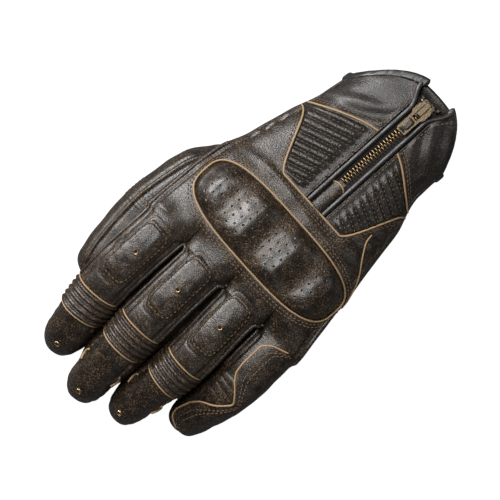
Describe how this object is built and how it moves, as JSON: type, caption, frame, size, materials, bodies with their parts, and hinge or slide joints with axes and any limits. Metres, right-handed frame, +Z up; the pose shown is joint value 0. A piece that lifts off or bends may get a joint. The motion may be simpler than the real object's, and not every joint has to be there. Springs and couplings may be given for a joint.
{
  "type": "riding_glove",
  "caption": "Left-hand dark leather riding glove with a moulded knuckle guard, ribbed finger bends, quilted wrist panels and a brass zip.",
  "frame": {"origin": "middle of the outline in plan, on the surface that the glove lies on", "axes": "+X from fingers to cuff, +Y to the thumb side, +Z up from palm to back"},
  "size_m": [0.2532, 0.1286, 0.0615],
  "materials": {
    "glove_leather": "dark brown-black rubbed grain leather",
    "guard_leather": "perforated moulded leather",
    "tan_edge": "tan raw edge piping",
    "lining_fabric": "dark woven fabric",
    "foam": "foam",
    "antique_brass": "antique brass",
    "dark_metal": "dark plated metal"
  },
  "bodies": {
    "hand": {"back_panel": "glove_leather", "cuff_panel_little_side": "glove_leather", "cuff_panel_thumb_side": "glove_leather", "cuff_piping_little_side": "tan_edge", "cuff_piping_thumb_side": "tan_edge", "hand_lining": "lining_fabric", "hem_binding": "glove_leather", "index_bend": "glove_leather", "index_gusset": "glove_leather", "index_pad": "glove_leather", "index_pad_eyelet": "antique_brass", "knuckle_foam": "foam", "knuckle_guard": "guard_leather", "knuckle_piping": "tan_edge", "little_bend": "glove_leather", "little_gusset": "glove_leather", "little_patch": "glove_leather", "middle_bend": "glove_leather", "middle_gusset": "glove_leather", "middle_pad": "glove_leather", "middle_pad_eyelet": "antique_brass", "palm_heel_pad": "glove_leather", "palm_panel": "glove_leather", "quilted_panel_little_side": "glove_leather", "quilted_panel_thumb_side": "glove_leather", "ring_bend": "glove_leather", "ring_gusset": "glove_leather", "ring_pad": "glove_leather", "ring_pad_eyelet": "antique_brass", "thumb_bend": "glove_leather", "thumb_root": "glove_leather", "wrist_piping_little_side": "tan_edge", "wrist_piping_thumb_side": "tan_edge", "zip_bottom_stop": "dark_metal", "zip_end_tab": "glove_leather", "zip_tape_little_side": "lining_fabric", "zip_tape_thumb_side": "lining_fabric", "zip_teeth_little_side": "antique_brass", "zip_teeth_thumb_side": "antique_brass", "zip_top_stop_little_side": "dark_metal", "zip_top_stop_thumb_side": "dark_metal", "zip_underlay": "glove_leather", "zip_welt_little_side": "glove_leather", "zip_welt_thumb_side": "glove_leather"},
    "index_tip_body": {"index_tip": "glove_leather", "index_tip_eyelet": "antique_brass"},
    "middle_tip_body": {"middle_tip": "glove_leather", "middle_tip_eyelet": "antique_brass"},
    "ring_tip_body": {"ring_tip": "glove_leather", "ring_tip_eyelet": "antique_brass"},
    "little_tip_body": {"little_tip": "glove_leather", "little_tip_patch": "glove_leather"},
    "thumb_body": {"thumb_tip": "glove_leather"},
    "slider_body": {"zip_slider": "dark_metal"},
    "pull_body": {"zip_pull": "antique_brass"}
  },
  "joints": [
    {"name": "index_flex", "type": "hinge", "parent": "hand", "child": "index_tip_body", "pos_m": [-0.08303, 0.03458, 0.03039], "axis": [0.1516, -0.9884, 0], "range_deg": [-8, 40], "deforming": ["index_bend"]},
    {"name": "middle_flex", "type": "hinge", "parent": "hand", "child": "middle_tip_body", "pos_m": [-0.07913, 0.006, 0.03362], "axis": [0.0578, -0.9983, 0], "range_deg": [-8, 40], "deforming": ["middle_bend"]},
    {"name": "ring_flex", "type": "hinge", "parent": "hand", "child": "ring_tip_body", "pos_m": [-0.07493, -0.02367, 0.03119], "axis": [-0.034, -0.9994, 0], "range_deg": [-8, 40], "deforming": ["ring_bend"]},
    {"name": "little_flex", "type": "hinge", "parent": "hand", "child": "little_tip_body", "pos_m": [-0.05943, -0.04993, 0.02809], "axis": [-0.0464, -0.9989, 0], "range_deg": [-8, 40], "deforming": ["little_bend"]},
    {"name": "thumb_swing", "type": "hinge", "parent": "hand", "child": "thumb_body", "pos_m": [-0.02673, 0.05107, 0.01359], "axis": [0, 0, -1], "range_deg": [0, 28], "deforming": ["thumb_bend"]},
    {"name": "zip_slide", "type": "slide", "parent": "hand", "child": "slider_body", "axis": [-1, 0, 0], "range_m": [0, 0.049], "deforming": ["zip_teeth_thumb_side", "zip_teeth_little_side", "zip_tape_thumb_side", "zip_tape_little_side"]},
    {"name": "pull_swing", "type": "hinge", "parent": "slider_body", "child": "pull_body", "pos_m": [0.11617, -0.00893, 0.0532], "axis": [0, 1, 0], "range_deg": [0, 160]}
  ]
}
